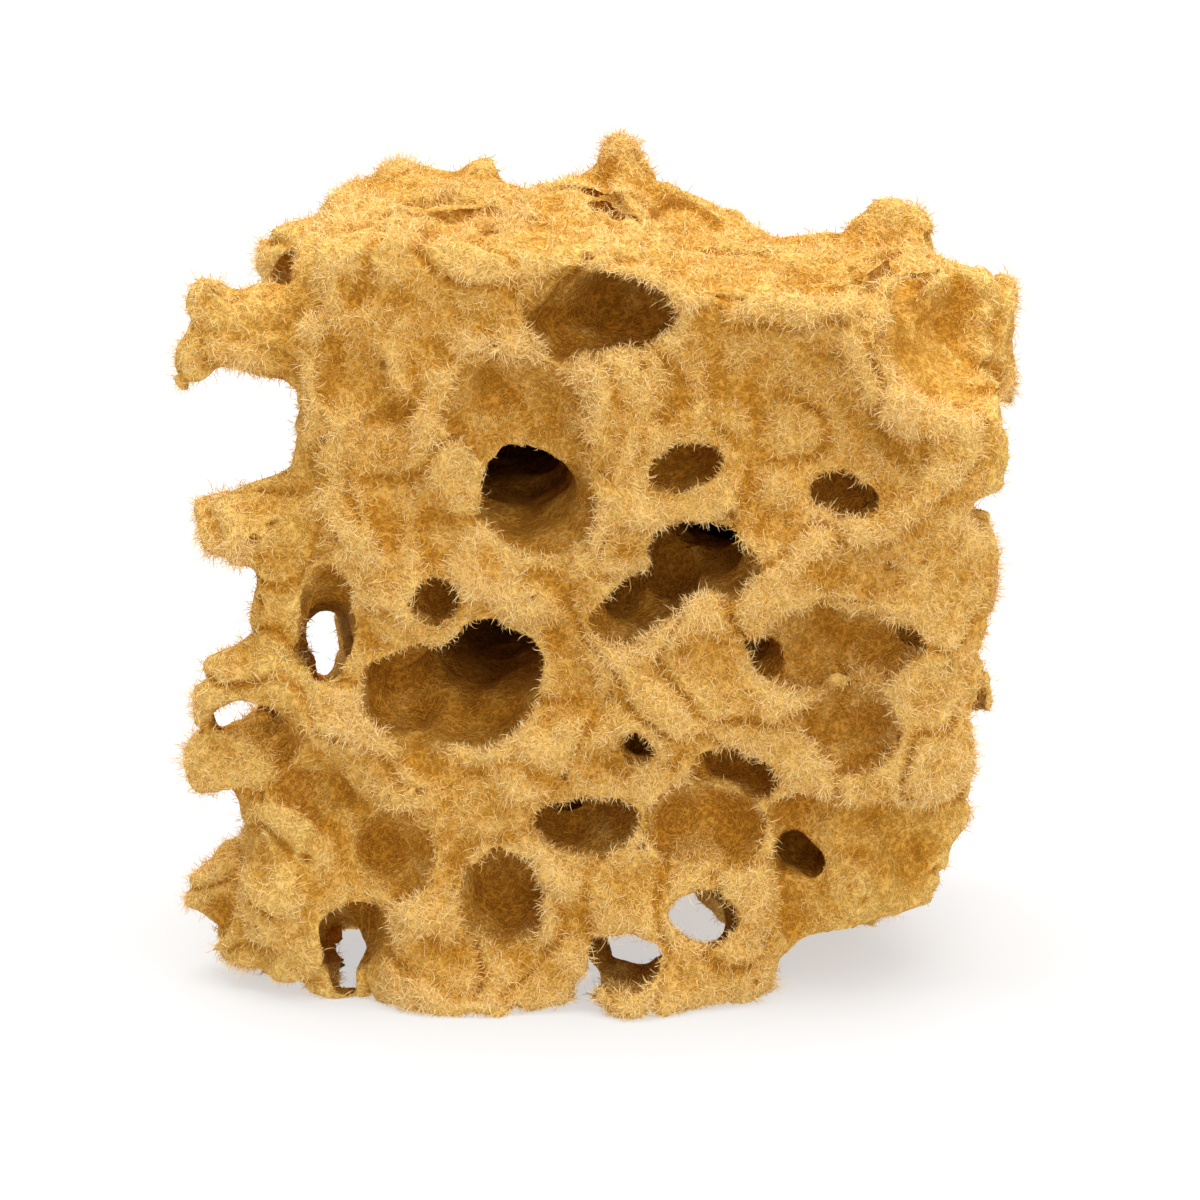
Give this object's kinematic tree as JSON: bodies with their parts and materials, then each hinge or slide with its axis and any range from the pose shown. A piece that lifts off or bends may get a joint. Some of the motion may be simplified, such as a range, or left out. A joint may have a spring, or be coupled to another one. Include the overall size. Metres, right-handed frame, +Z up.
{
  "type": "sea sponge",
  "caption": "Dry sea sponge in one piece: a rough upright block with side arms, water channels, caves and pores.",
  "frame": {"origin": "on the surface the sponge stands on, under the middle of its bounding box", "axes": "+Z up; the face that the picture shows looks along -Y; +X is to that face's right"},
  "size_m": [0.087, 0.0722, 0.0826],
  "materials": {
    "sponge_fibre": "soft matt felt of short golden fibres"
  },
  "bodies": {
    "root": {"sponge": "sponge_fibre"}
  },
  "joints": []
}
